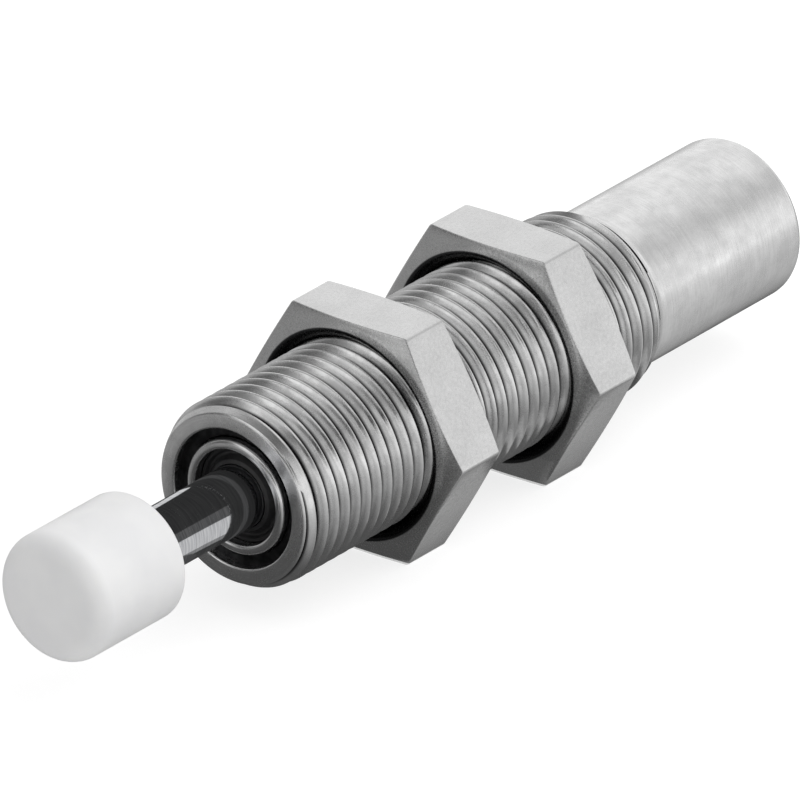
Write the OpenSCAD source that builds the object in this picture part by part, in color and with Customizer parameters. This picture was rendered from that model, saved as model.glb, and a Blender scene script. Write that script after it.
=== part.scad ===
// Self-compensating industrial shock absorber with a threaded body, two thin hexagon nuts,
// a sprung piston rod and an impact cap. The axis lies along X, the rod comes out towards +X.
// The origin is on the axis, in the plane of the threaded body's front face. Millimetres.

/* [Threaded body] */
// Length of the body, front face to rear end
body_l = 48.4; // [46:0.1:56]
// Major diameter of the body thread, made here as a plain cylinder
thread_d = 12; // [11.6:0.1:14]
// Length of the full thread, behind the lead chamfer
thread_l = 32.5; // [31:0.5:36]
// Length of the 30 degree lead chamfer at the front end of the thread
lead_l = 1.3; // [0.8:0.1:1.6]
// Radial depth of the lead chamfer
lead_h = 0.75; // [0.4:0.05:0.9]
// Length of the cone between the thread and the smooth barrel
runout_l = 1; // [0.5:0.1:2]
// Diameter of the smooth rear barrel
barrel_d = 10.4; // [10:0.1:11]
// Edge radius at the rear end of the barrel
barrel_edge_r = 0.5; // [0.2:0.1:0.8]
// Diameter of the oil space inside the body
bore_d = 8; // [7.8:0.1:8.3]
// Diameter of the front counterbore that holds the gland
gland_bore_d = 8.9; // [8.7:0.05:9.2]
// Thickness of the body's closed rear end
end_wall = 4.4; // [4.2:0.1:5]

/* [Hexagon nuts] */
// Width across the flats
nut_af = 15; // [15:0.5:17]
// Thickness of each nut
nut_t = 4; // [3:0.5:5]
// Diameter of the circle where the corner chamfer starts on each face
nut_face_d = 14.6; // [14:0.1:14.8]
// Slope of the corner chamfer, in degrees from the face
nut_chamfer_a = 12; // [8:1:20]
// Mouth diameter of the countersink at each end of the nut's hole
nut_sink_d = 13.2; // [12.6:0.1:13.4]
// Distance from the body's front face to the front nut
front_nut_x = 10.8; // [6:0.1:12]
// Clear distance between the two nuts
nut_gap = 9.15; // [4:0.05:10]

/* [Rod and cap] */
// Diameter of the piston rod
rod_d = 4; // [3.8:0.1:4.1]
// Working stroke
stroke = 8; // [6:0.5:9]
// Distance left between the cap and the body at the end of the stroke
cap_standoff = 1.2; // [0.5:0.05:2]
// Diameter of the impact cap
cap_d = 8.15; // [7:0.05:9]
// Length of the impact cap
cap_l = 7.9; // [7:0.1:9]
// Edge radius of the cap's striking face
cap_edge_r = 1.2; // [0.8:0.1:1.6]
// Edge radius at the cap's rear face
cap_back_r = 0.3; // [0.1:0.1:0.5]
// Diameter of the rod's front spigot, inside the cap
spigot_d = 3; // [2.6:0.1:3.2]
// Length of the rod's front spigot
spigot_l = 4.4; // [4:0.1:5]
// Depth of the cap's socket for the full rod diameter
socket_l = 1.2; // [0.8:0.1:1.6]
// Width of the snap groove round the spigot
snap_groove_w = 1.2; // [1:0.1:1.4]
// Depth of the snap groove
snap_groove_h = 0.25; // [0.15:0.05:0.35]
// Length of the spigot's land in front of the snap groove
snap_land_l = 1.4; // [1:0.1:1.8]

/* [Gland and seals] */
// Radial step from the counterbore down to the gland's nose, which the retaining ring fills
ring_step = 0.75; // [0.65:0.05:0.85]
// Depth of the gland's nose behind the body's front face
nose_recess = 0.15; // [0:0.05:0.3]
// Depth of the retaining ring behind the body's front face
ring_recess = 0.7; // [0.5:0.05:0.9]
// Thickness of the retaining ring
ring_t = 0.8; // [0.6:0.05:1]
// Depth of the ring's groove in the body wall
ring_groove = 0.3; // [0.2:0.05:0.4]
// Opening angle of the retaining ring
ring_open_a = 50; // [30:5:80]
// Turn of the ring's opening about the axis, from +Y
ring_turn_a = -140; // [-180:5:180]
// Diameter of the wiper's pocket
wiper_d = 6.1; // [6:0.05:6.2]
// Depth of the wiper's pocket
wiper_l = 2; // [1.6:0.1:2.2]
// Web between the wiper and the guide bush
web_t = 0.6; // [0.5:0.1:0.8]
// Outside diameter of the guide bush
bush_d = 5.4; // [5.2:0.1:5.6]
// Length of the guide bush
bush_l = 3; // [2.6:0.1:3.4]
// Outside diameter of the rod seal
seal_d = 6.6; // [6.4:0.1:6.8]
// Length of the rod seal
seal_l = 2.4; // [2.1:0.1:2.6]
// Thickness of the washer behind the rod seal
washer_t = 0.9; // [0.7:0.1:1.1]
// Depth of the gland's O-ring groove
o_groove_h = 0.8; // [0.7:0.05:0.85]
// Width of the gland's O-ring groove
o_groove_w = 1.2; // [1.1:0.05:1.4]

/* [Damper] */
// Length of the foam sleeve that takes up the displaced oil
sleeve_l = 11; // [10:0.5:12]
// Wall of the foam sleeve
sleeve_wall = 1.5; // [1:0.1:1.6]
// Radial clearance round the foam sleeve
sleeve_gap = 0.05; // [0.03:0.01:0.1]
// Thickness of the stopper plate in front of the pressure tube
stopper_t = 1.4; // [1:0.1:1.6]
// Diameter of the oil notches round the stopper plate
notch_d = 1.1; // [0.8:0.1:1.3]
// Outside diameter of the pressure tube
ptube_d = 7.1; // [7:0.05:7.3]
// Wall of the pressure tube
ptube_wall = 0.65; // [0.5:0.05:0.7]
// Number of metering holes along the pressure tube
meter_count = 5; // [3:1:7]
// Diameter of each metering hole
meter_d = 0.55; // [0.4:0.05:0.7]
// Diameter of the two return ports at the front of the pressure tube
port_d = 1.2; // [0.8:0.1:1.2]
// Thickness of the base plug's flange
plug_t = 1; // [0.8:0.1:1.2]
// Length of the base plug's spigot in the pressure tube
plug_spigot_l = 0.8; // [0.5:0.1:1]
// Diameter of the oil passage through the base plug and the end wall
passage_d = 1.2; // [1:0.1:1.4]

/* [Piston] */
// Clear distance between the piston and the stopper plate at rest
rest_gap = 0.1; // [0.05:0.05:0.2]
// Diameter of the piston collar in front of the check ring
collar_d = 5; // [4.8:0.1:5.2]
// Thickness of the piston collar
collar_t = 1.2; // [1:0.1:1.4]
// Diameter of the rod's rear spigot, which carries the piston
tail_d = 2.2; // [2:0.1:2.4]
// Diameter of the piston's hub, inside the check ring
hub_d = 3.2; // [3:0.1:3.4]
// Bore of the check ring, which leaves a way for the oil over the hub
check_bore_d = 4.1; // [3.8:0.1:4.3]
// Length of the check ring
check_l = 2.2; // [1.8:0.1:2.6]
// Axial play of the check ring, which opens and shuts the oil's return path
check_play = 0.4; // [0.3:0.05:0.5]
// Thickness of the piston's rear flange
flange_t = 1; // [0.8:0.1:1.2]
// Radial oil gap round the piston's rear flange
flange_way = 0.3; // [0.2:0.05:0.4]
// Diameter of the oil holes through the piston's rear flange
flange_hole_d = 0.6; // [0.4:0.05:0.7]
// Thickness of the retaining clip behind the piston
clip_t = 0.4; // [0.3:0.05:0.5]
// Outside diameter of the retaining clip
clip_d = 3.2; // [3:0.1:3.4]
// Depth of the clip's groove in the rod's tail
clip_groove = 0.3; // [0.2:0.05:0.4]
// Opening angle of the retaining clip
clip_open_a = 80; // [60:5:110]

/* [Return spring] */
// Wire diameter
wire_d = 0.5; // [0.4:0.05:0.55]
// Mean diameter of the coils
coil_d = 4.1; // [4:0.05:4.3]
// Number of turns, the two closed end turns included
turns = 10; // [8:1:12]
// Gap between the wires of a closed end turn
closed_gap = 0.05; // [0.03:0.01:0.1]

/* [Oil filler] */
// Depth of the ball's seat behind the oil space
seat_depth = 1.05; // [0.8:0.05:1.3]
// Diameter of the sealing ball
ball_d = 2; // [1.8:0.1:2.1]
// Thread diameter of the filler screw, made here as a plain cylinder
screw_d = 3; // [3:0.1:3.4]
// Width across the flats of the screw's socket
socket_af = 1.5; // [1.3:0.1:1.6]
// Depth of the screw's socket
socket_depth = 0.7; // [0.5:0.1:0.8]
// Depth of the screw behind the body's rear end
screw_recess = 0.15; // [0.05:0.05:0.3]

/* [Fits] */
// Radial clearance of pieces that slide or turn in each other
run_gap = 0.03; // [0.02:0.01:0.06]
// Radial clearance of pieces that are pressed or laid together
seat_gap = 0.02; // [0.01:0.01:0.04]
// Radial clearance of holes that the rod passes freely
free_gap = 0.15; // [0.1:0.05:0.2]

/* [Hidden] */
$fn = 96;
plated = "#bfbfbd";
bright = "#d9dadb";
dark_steel = "#2b2b2c";
rubber = "#1d1d1e";
white_plastic = "#eef0f4";
bronze = "#a98a5a";
foam = "#3a3a3c";
// How far a cut reaches past the face it opens
over = 1;

// Front nut and rear nut, front faces
front_nut_face = -front_nut_x;
rear_nut_face = front_nut_face - nut_t - nut_gap;

// Gland stack, from the front: nose, ring, wiper, web, bush, seal, washer
ring_front = -ring_recess;
ring_back = ring_front - ring_t;
nose_front = -nose_recess;
nose_d = gland_bore_d - 2 * ring_step;
wiper_back = nose_front - wiper_l;
bush_front = wiper_back - web_t;
bush_back = bush_front - bush_l;
seal_back = bush_back - seal_l;
gland_back = seal_back - washer_t;
o_groove_x = (bush_front + bush_back) / 2;
o_groove_d = gland_bore_d - 2 * o_groove_h;

// Damper stack, from the gland to the end wall
sleeve_back = gland_back - sleeve_l;
stopper_back = sleeve_back - stopper_t;
bore_end = -body_l + end_wall;
plug_front = bore_end + plug_t;
plug_tip = plug_front + plug_spigot_l;
ptube_bore_d = ptube_d - 2 * ptube_wall;

// Piston stack, from the front
collar_front = stopper_back - rest_gap;
collar_back = collar_front - collar_t;
hub_l = check_l + check_play + seat_gap;
flange_front = collar_back - hub_l;
flange_back = flange_front - flange_t;
clip_back = flange_back - clip_t;
tail_end = clip_back - clip_t;
clip_neck_d = tail_d - 2 * clip_groove;

// Cap, and the rod's spigot in it
cap_back = stroke + cap_standoff;
cap_front = cap_back + cap_l;
shoulder_x = cap_back + socket_l;
spigot_end = shoulder_x + spigot_l;
snap_back = spigot_end - snap_land_l - snap_groove_w;
snap_front = snap_back + snap_groove_w;
socket_relief = 0.1;

// Filler at the rear end: passage, ball seat, ball, screw
ball_seat = bore_end - seat_depth;
ball_x = ball_seat - sqrt(pow(ball_d / 2, 2) - pow(passage_d / 2, 2)) - seat_gap;
screw_front = ball_x - ball_d / 2;
screw_back = -body_l + screw_recess;

// Turns its children so that their Z axis lies along X
module along_x() {
    rotate([0, 90, 0])
        children();
}

// Solid of revolution about X, from points given as [x, radius]
module turned(points) {
    along_x()
        rotate_extrude()
            polygon([for (p = points) [p[1], p[0]]]);
}

// Plain cylinder along X from x0 to x1
module bar(x0, x1, d) {
    translate([min(x0, x1), 0, 0])
        along_x()
            cylinder(h = abs(x1 - x0), d = d);
}

// Plain ring along X from x0 to x1
module ring(x0, x1, outer_d, inner_d) {
    turned([[x0, inner_d / 2], [x1, inner_d / 2], [x1, outer_d / 2], [x0, outer_d / 2]]);
}

// Points of a quarter round, as [x, radius], about a centre, from angle a0 to angle a1
function quarter(cx, cr, r, a0, a1, steps = 6) =
    [for (i = [0:steps]) let (a = a0 + (a1 - a0) * i / steps) [cx + r * cos(a), cr + r * sin(a)]];

// Body: threaded stretch, run-out cone and smooth barrel outside; counterbore for the gland,
// ring groove, oil space, and the stepped filler hole through the closed end inside
module outer_tube() {
    thread_front = -lead_l;
    thread_back = thread_front - thread_l;
    color(plated)
    difference() {
        turned(concat(
            [
                [0, 0],
                [0, thread_d / 2 - lead_h],
                [thread_front, thread_d / 2],
                [thread_back, thread_d / 2],
                [thread_back - runout_l, barrel_d / 2],
            ],
            quarter(-body_l + barrel_edge_r, barrel_d / 2 - barrel_edge_r, barrel_edge_r, 90, 180),
            [[-body_l, 0]]
        ));
        bar(gland_back, over, gland_bore_d);
        bar(ring_back, ring_front, gland_bore_d + 2 * ring_groove);
        bar(bore_end, gland_back + over, bore_d);
        bar(ball_seat, bore_end + over, passage_d);
        bar(screw_front, ball_seat, ball_d + 2 * seat_gap);
        bar(-body_l - over, screw_front + seat_gap, screw_d + 2 * seat_gap);
    }
}

// Thin hexagon nut, chamfered on both faces and countersunk at both ends of its hole
module nut(face_x) {
    hex_d = nut_af / cos(30);
    cone_h = (hex_d - nut_face_d) / 2 * tan(nut_chamfer_a);
    sink_h = (nut_sink_d - thread_d) / 2;
    back_x = face_x - nut_t;
    color(plated)
    difference() {
        intersection() {
            translate([back_x, 0, 0])
                along_x()
                    rotate([0, 0, 30])
                        cylinder(h = nut_t, d = hex_d, $fn = 6);
            turned([
                [back_x, 0],
                [back_x, nut_face_d / 2],
                [back_x + cone_h, hex_d / 2],
                [face_x - cone_h, hex_d / 2],
                [face_x, nut_face_d / 2],
                [face_x, 0],
            ]);
        }
        bar(back_x - over, face_x + over, thread_d + 2 * run_gap);
        turned([
            [face_x - sink_h, 0],
            [face_x - sink_h, thread_d / 2],
            [face_x, nut_sink_d / 2],
            [face_x + over, nut_sink_d / 2],
            [face_x + over, 0],
        ]);
        turned([
            [back_x + sink_h, 0],
            [back_x + sink_h, thread_d / 2],
            [back_x, nut_sink_d / 2],
            [back_x - over, nut_sink_d / 2],
            [back_x - over, 0],
        ]);
    }
}

module front_nut() {
    nut(front_nut_face);
}

module rear_nut() {
    nut(rear_nut_face);
}

// Moulded cap with a blind stepped socket and an inner bead that snaps over the rod's groove
module impact_cap() {
    socket_end = spigot_end + socket_relief;
    socket_r = spigot_d / 2 + seat_gap;
    bead_r = socket_r - snap_groove_h + seat_gap;
    color(white_plastic)
    turned(concat(
        [
            [socket_end, 0],
            [socket_end, socket_r],
            [snap_front - seat_gap, socket_r],
            [snap_front - snap_groove_h, bead_r],
            [snap_back + snap_groove_h, bead_r],
            [snap_back + seat_gap, socket_r],
            [shoulder_x, socket_r],
            [shoulder_x, rod_d / 2 + seat_gap],
            [cap_back, rod_d / 2 + seat_gap],
        ],
        quarter(cap_back + cap_back_r, cap_d / 2 - cap_back_r, cap_back_r, 180, 90),
        quarter(cap_front - cap_edge_r, cap_d / 2 - cap_edge_r, cap_edge_r, 90, 0),
        [[cap_front, 0]]
    ));
}

// Hard-chromed rod: snap groove and spigot in front, thinner tail with a clip groove behind
module piston_rod() {
    tip_chamfer = 0.3;
    tail_chamfer = 0.15;
    color(bright)
    turned([
        [spigot_end, 0],
        [spigot_end, spigot_d / 2 - tip_chamfer],
        [spigot_end - tip_chamfer, spigot_d / 2],
        [snap_front, spigot_d / 2],
        [snap_front - snap_groove_h, spigot_d / 2 - snap_groove_h],
        [snap_back + snap_groove_h, spigot_d / 2 - snap_groove_h],
        [snap_back, spigot_d / 2],
        [shoulder_x, spigot_d / 2],
        [shoulder_x, rod_d / 2],
        [collar_front, rod_d / 2],
        [collar_front, tail_d / 2],
        [flange_back, tail_d / 2],
        [flange_back, clip_neck_d / 2],
        [clip_back, clip_neck_d / 2],
        [clip_back, tail_d / 2],
        [tail_end + tail_chamfer, tail_d / 2],
        [tail_end, tail_d / 2 - tail_chamfer],
        [tail_end, 0],
    ]);
}

// Wedge that cuts the opening of a snap ring
module ring_opening(x0, x1, d, angle) {
    half = d * sin(angle / 2);
    reach = d * cos(angle / 2);
    translate([x0 - over, 0, 0])
        rotate([ring_turn_a, 0, 0])
            along_x()
                linear_extrude(x1 - x0 + 2 * over)
                    polygon([[0, 0], [-half, reach], [half, reach]]);
}

// Black snap ring in the body's groove, round the gland's nose
module retaining_ring() {
    outer_d = gland_bore_d + 2 * ring_groove - 2 * seat_gap;
    inner_d = nose_d + 4 * seat_gap;
    color(dark_steel)
    difference() {
        ring(ring_back, ring_front, outer_d, inner_d);
        ring_opening(ring_back, ring_front, outer_d, ring_open_a);
    }
}

// Steel gland: nose with the wiper's pocket, O-ring groove, bush seat and seal pocket
module gland() {
    edge = 0.15;
    color(bright)
    difference() {
        turned([
            [nose_front, 0],
            [nose_front, nose_d / 2 - edge],
            [nose_front - edge, nose_d / 2],
            [ring_back, nose_d / 2],
            [ring_back, gland_bore_d / 2 - seat_gap],
            [o_groove_x + o_groove_w / 2, gland_bore_d / 2 - seat_gap],
            [o_groove_x + o_groove_w / 2, o_groove_d / 2],
            [o_groove_x - o_groove_w / 2, o_groove_d / 2],
            [o_groove_x - o_groove_w / 2, gland_bore_d / 2 - seat_gap],
            [gland_back, gland_bore_d / 2 - seat_gap],
            [gland_back, 0],
        ]);
        bar(wiper_back, over, wiper_d);
        bar(gland_back - over, over, rod_d + 2 * free_gap);
        bar(bush_back - over, bush_front, bush_d + 2 * seat_gap);
        bar(gland_back - over, bush_back, seal_d + 2 * seat_gap);
    }
}

// Rubber wiper: a ring with a scraping lip that leans outwards onto the rod
module rod_wiper() {
    lip_r = rod_d / 2 + run_gap;
    heel_r = rod_d / 2 + 2 * free_gap;
    heel_l = 0.9;
    body_r = wiper_d / 2 - seat_gap;
    front = nose_front - 0.35;
    lip_w = 0.25;
    rim_w = 0.2;
    valley = front - 0.7;
    rim = front - 0.35;
    color(rubber)
    turned([
        [wiper_back, heel_r],
        [wiper_back + heel_l, heel_r],
        [front - lip_w, lip_r],
        [front, lip_r],
        [front - lip_w / 2, lip_r + lip_w],
        [valley, body_r - rim_w - lip_w],
        [rim, body_r - rim_w],
        [rim, body_r],
        [wiper_back, body_r],
    ]);
}

// Sintered bronze bush that guides the rod
module guide_bush() {
    color(bronze)
    ring(bush_back, bush_front, bush_d, rod_d + 2 * run_gap);
}

// Lip seal: a cup whose two lips open towards the oil
module rod_seal() {
    inner_r = rod_d / 2 + run_gap;
    outer_r = seal_d / 2;
    mid_r = (inner_r + outer_r) / 2;
    heel = bush_back - 0.4 * seal_l;
    relief = 0.15;
    lip_x = seal_back + 0.2;
    color(rubber)
    turned([
        [bush_back, inner_r + relief],
        [bush_back, outer_r - relief],
        [heel, outer_r - relief],
        [lip_x, outer_r],
        [seal_back, outer_r - relief],
        [heel, mid_r],
        [seal_back, inner_r + relief],
        [lip_x, inner_r],
        [heel, inner_r + relief],
    ]);
}

// Washer that closes the seal's pocket
module seal_washer() {
    color(dark_steel)
    ring(gland_back, seal_back, seal_d, rod_d + 2 * free_gap);
}

// O-ring between the gland and the body
module gland_o_ring() {
    section_d = (gland_bore_d - o_groove_d) / 2 - 2 * seat_gap;
    color(rubber)
    translate([o_groove_x, 0, 0])
        along_x()
            rotate_extrude()
                translate([(gland_bore_d + o_groove_d) / 4, 0])
                    circle(d = section_d, $fn = 32);
}

// Closed-cell foam sleeve that shrinks to take the oil which the rod displaces
module foam_sleeve() {
    outer_d = bore_d - 2 * sleeve_gap;
    color(foam)
    ring(sleeve_back, gland_back, outer_d, outer_d - 2 * sleeve_wall);
}

// Stopper plate: the piston's front stop, notched so that oil passes to the foam sleeve
module stopper_plate() {
    notches = 6;
    color(dark_steel)
    difference() {
        ring(stopper_back, sleeve_back, bore_d - 2 * seat_gap, rod_d + 2 * free_gap);
        for (i = [0:notches - 1])
            rotate([360 * i / notches, 0, 0])
                translate([0, bore_d / 2, 0])
                    bar(stopper_back - over, sleeve_back + over, notch_d);
    }
}

// Distance that the check ring's rear edge has moved when it covers metering hole i:
// the holes crowd together towards the end of the stroke, which keeps the force level
function meter_travel(i) = stroke * (1 - pow((meter_count - i) / meter_count, 2));

// Pressure tube: metering holes in a spiral along the stroke and two return ports in front
module pressure_tube() {
    meter_start = collar_back - check_l;
    port_x = stopper_back - port_d;
    color(bright)
    difference() {
        ring(plug_front, stopper_back, ptube_d, ptube_bore_d);
        for (i = [0:meter_count - 1])
            translate([meter_start - meter_travel(i) - meter_d, 0, 0])
                rotate([i * 360 / meter_count, 0, 0])
                    cylinder(h = ptube_d, d = meter_d, $fn = 24);
        translate([port_x, 0, -ptube_d])
            cylinder(h = 2 * ptube_d, d = port_d, $fn = 24);
    }
}

// Collar on the rod's shoulder: the check ring seats on it while the rod is driven in
module piston_collar() {
    color(dark_steel)
    ring(collar_back, collar_front, collar_d, tail_d + 2 * seat_gap);
}

// Check ring: seals the pressure tube on the way in, and floats off its seat on the way out
module check_ring() {
    outer_r = ptube_bore_d / 2 - run_gap;
    front = collar_back - seat_gap;
    back = front - check_l;
    edge = 0.15;
    color(bronze)
    turned([
        [back, check_bore_d / 2],
        [back, outer_r - edge],
        [back + edge, outer_r],
        [front - edge, outer_r],
        [front, outer_r - edge],
        [front, check_bore_d / 2],
    ]);
}

// Piston: hub inside the check ring and a drilled rear flange that the spring pushes on
module piston() {
    holes = 6;
    hole_land = 0.1;
    hole_r = (hub_d + flange_hole_d) / 2 + hole_land;
    flange_d = ptube_bore_d - 2 * flange_way;
    color(dark_steel)
    difference() {
        union() {
            bar(flange_back, collar_back, hub_d);
            bar(flange_back, flange_front, flange_d);
        }
        bar(flange_back - over, collar_back + over, tail_d + 2 * seat_gap);
        for (i = [0:holes - 1])
            rotate([360 * i / holes, 0, 0])
                translate([0, hole_r, 0])
                    bar(flange_back - over, flange_front + over, flange_hole_d);
    }
}

// Open clip in the groove of the rod's tail
module piston_clip() {
    color(dark_steel)
    difference() {
        ring(clip_back + seat_gap, flange_back - seat_gap, clip_d, clip_neck_d + 2 * seat_gap);
        ring_opening(clip_back, flange_back, clip_d, clip_open_a);
    }
}

// Points of one round section of the spring wire, at turn t of the coil
function wire_x(t, length) =
    let (closed = wire_d + closed_gap, middle = (length - wire_d - 2 * closed) / (turns - 2))
    t < 1 ? closed * t
    : t < turns - 1 ? closed + middle * (t - 1)
    : closed + middle * (turns - 2) + closed * (t - turns + 1);
function wire_ring(t, length, start, sides) =
    [for (s = [0:sides - 1])
        let (
            a = 360 * s / sides,
            r = coil_d / 2 + wire_d / 2 * cos(a),
            x = start - wire_d / 2 - wire_x(t, length) + wire_d / 2 * sin(a)
        )
        [x, r * cos(360 * t), r * sin(360 * t)]];

// Return spring between the piston's flange and the base plug, both end turns closed
module return_spring() {
    sides = 8;
    steps = 20;
    start = flange_back - seat_gap;
    length = start - plug_tip - seat_gap;
    rings = turns * steps;
    points = [for (k = [0:rings]) each wire_ring(k / steps, length, start, sides)];
    walls = [
        for (k = [0:rings - 1], s = [0:sides - 1])
            let (a = k * sides + s, b = k * sides + (s + 1) % sides)
                each [[a, b, b + sides], [a, b + sides, a + sides]]
    ];
    first = [for (s = [sides - 1:-1:0]) s];
    last = [for (s = [0:sides - 1]) rings * sides + s];
    color(bright)
    polyhedron(points = points, faces = concat(walls, [first, last]), convexity = 10);
}

// Base plug: closes the pressure tube, carries the spring and lets filling oil through
module base_plug() {
    color(dark_steel)
    difference() {
        union() {
            bar(bore_end, plug_front, bore_d - 2 * seat_gap);
            bar(bore_end, plug_tip, ptube_bore_d - 2 * seat_gap);
        }
        bar(bore_end - over, plug_tip + over, passage_d);
    }
}

// Steel ball that shuts the filling hole
module filler_ball() {
    color(bright)
    translate([ball_x, 0, 0])
        sphere(d = ball_d);
}

// Headless screw that holds the ball on its seat
module filler_screw() {
    edge = 0.2;
    color(dark_steel)
    difference() {
        turned([
            [screw_front, 0],
            [screw_front, screw_d / 2 - edge],
            [screw_front - edge, screw_d / 2],
            [screw_back + edge, screw_d / 2],
            [screw_back, screw_d / 2 - edge],
            [screw_back, 0],
        ]);
        translate([screw_back - over, 0, 0])
            along_x()
                cylinder(h = socket_depth + over, d = socket_af / cos(30), $fn = 6);
    }
}

outer_tube();
front_nut();
rear_nut();
impact_cap();
piston_rod();
retaining_ring();
gland();
rod_wiper();
guide_bush();
rod_seal();
seal_washer();
gland_o_ring();
foam_sleeve();
stopper_plate();
pressure_tube();
piston_collar();
check_ring();
piston();
piston_clip();
return_spring();
base_plug();
filler_ball();
filler_screw();
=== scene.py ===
import math

import bmesh
import bpy
import numpy as np
from mathutils import Matrix, Vector


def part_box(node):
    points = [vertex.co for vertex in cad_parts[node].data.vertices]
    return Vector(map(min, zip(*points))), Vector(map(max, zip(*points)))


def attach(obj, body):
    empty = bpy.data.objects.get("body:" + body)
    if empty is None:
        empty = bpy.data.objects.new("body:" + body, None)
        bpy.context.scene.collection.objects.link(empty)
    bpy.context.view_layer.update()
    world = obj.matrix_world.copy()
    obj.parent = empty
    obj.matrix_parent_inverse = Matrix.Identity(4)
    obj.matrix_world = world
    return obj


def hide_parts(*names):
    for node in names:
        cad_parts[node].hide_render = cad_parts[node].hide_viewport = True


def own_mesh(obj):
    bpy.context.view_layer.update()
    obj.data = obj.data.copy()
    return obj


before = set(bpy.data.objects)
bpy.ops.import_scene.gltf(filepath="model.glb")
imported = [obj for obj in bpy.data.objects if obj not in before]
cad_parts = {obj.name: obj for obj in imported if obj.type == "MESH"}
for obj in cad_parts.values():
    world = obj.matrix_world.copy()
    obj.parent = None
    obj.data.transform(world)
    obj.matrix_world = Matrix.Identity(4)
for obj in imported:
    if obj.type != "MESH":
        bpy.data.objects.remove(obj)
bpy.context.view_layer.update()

# --------------------------------------------------------------------------------------------
# Camera. A long lens looks at the threaded body from the impact cap's side and from above. It
# stands more than a metre away, so that the two nuts keep nearly the same size.
MM = 0.001
VIEW_TARGET = Vector((-15.928, -0.0575, 0.274)) * MM
VIEW_AZIMUTH = 128.836
VIEW_ELEVATION = 26.364
VIEW_ROLL = -0.459
VIEW_DISTANCE = 1204.4
LENS = 910.5
SENSOR = 36


def aim_camera(target, azimuth, elevation, roll, distance):
    """Stands the camera at a distance from the target, in the direction of the azimuth and the
    elevation in degrees, and turns it about its line of sight by the roll."""
    az, el, turn = (math.radians(v) for v in (azimuth, elevation, roll))
    back = Vector((math.sin(az) * math.cos(el), -math.cos(az) * math.cos(el), math.sin(el)))
    level = Vector((math.cos(az), math.sin(az), 0))
    upright = back.cross(level)
    right = level * math.cos(turn) + upright * math.sin(turn)
    up = upright * math.cos(turn) - level * math.sin(turn)
    data = bpy.data.cameras.new("camera")
    data.sensor_width = SENSOR
    data.lens = LENS
    data.clip_start = 0.1
    data.clip_end = 10
    camera = bpy.data.objects.new("camera", data)
    bpy.context.scene.collection.objects.link(camera)
    place = target + back * distance * MM
    camera.matrix_world = Matrix(
        [[right[i], up[i], back[i], place[i]] for i in range(3)] + [[0, 0, 0, 1]]
    )
    bpy.context.scene.camera = camera


aim_camera(VIEW_TARGET, VIEW_AZIMUTH, VIEW_ELEVATION, VIEW_ROLL, VIEW_DISTANCE)

# --------------------------------------------------------------------------------------------
# Studio. A plain pale floor touches the nuts' lower flats, one soft lamp stands above on the
# right, and grey cards that only mirrors see give the steel its dark and light bands.
FLOOR_COLOUR = "a0a0a0"
FLOOR_GLOW = 0.78
FLOOR_FILL = 0.45
FLOOR_REACH = 3000
SKY_FILL = 0.6
CARD_LIFT = 0.2
CARD_GAP = 0.1
ROOF_HEIGHT = 290
THREAD_CARD_Z = -5.5
COLLAR_X = 0.05
COLLAR_OUT = 16
COLLAR_STEPS = 33


def linear(hex_colour):
    """Turns an sRGB colour such as c4c3c1 into the four linear numbers that a socket takes."""
    parts = [int(hex_colour[i:i + 2], 16) / 255 for i in (0, 2, 4)]
    return [p / 12.92 if p <= 0.04045 else ((p + 0.055) / 1.055) ** 2.4 for p in parts] + [1.0]


def add(tree, kind, inputs=(), **settings):
    """Adds one shader node; inputs gives each socket its value, or the socket that feeds it."""
    made = tree.nodes.new("ShaderNode" + kind)
    for name, value in settings.items():
        setattr(made, name, value)
    for socket, value in dict(inputs).items():
        if isinstance(value, bpy.types.NodeSocket):
            tree.links.new(value, made.inputs[socket])
        else:
            made.inputs[socket].default_value = value
    return made


def blank_material(name):
    """Makes a material with no nodes in it, and gives it back with its node tree."""
    material = bpy.data.materials.new(name)
    material.use_nodes = True
    material.node_tree.nodes.clear()
    return material, material.node_tree


def stage_sheet(name, corner, along, across):
    """Makes a flat four-sided stage piece from one corner and its two sides in mm."""
    c, a, b = (Vector(v) * MM for v in (corner, along, across))
    mesh = bpy.data.meshes.new(name)
    mesh.from_pydata([c, c + a, c + a + b, c + b], [], [(0, 1, 2, 3)])
    sheet = bpy.data.objects.new(name, mesh)
    bpy.context.scene.collection.objects.link(sheet)
    return sheet


def background_rays(tree):
    """A socket that is 1 for what the camera, a mirror or glass shows, and 0 for other light."""
    path = add(tree, "LightPath")
    two = add(tree, "Math", {0: path.outputs["Is Camera Ray"], 1: path.outputs["Is Glossy Ray"]},
              operation="MAXIMUM")
    return add(tree, "Math", {0: two.outputs[0], 1: path.outputs["Is Transmission Ray"]},
               operation="MAXIMUM").outputs[0]


def mirror_only(card):
    """Lets a stage piece show in mirrors alone: it lights nothing and shades nothing."""
    card.visible_camera = False
    card.visible_diffuse = False
    card.visible_shadow = False
    card.visible_transmission = False


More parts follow.
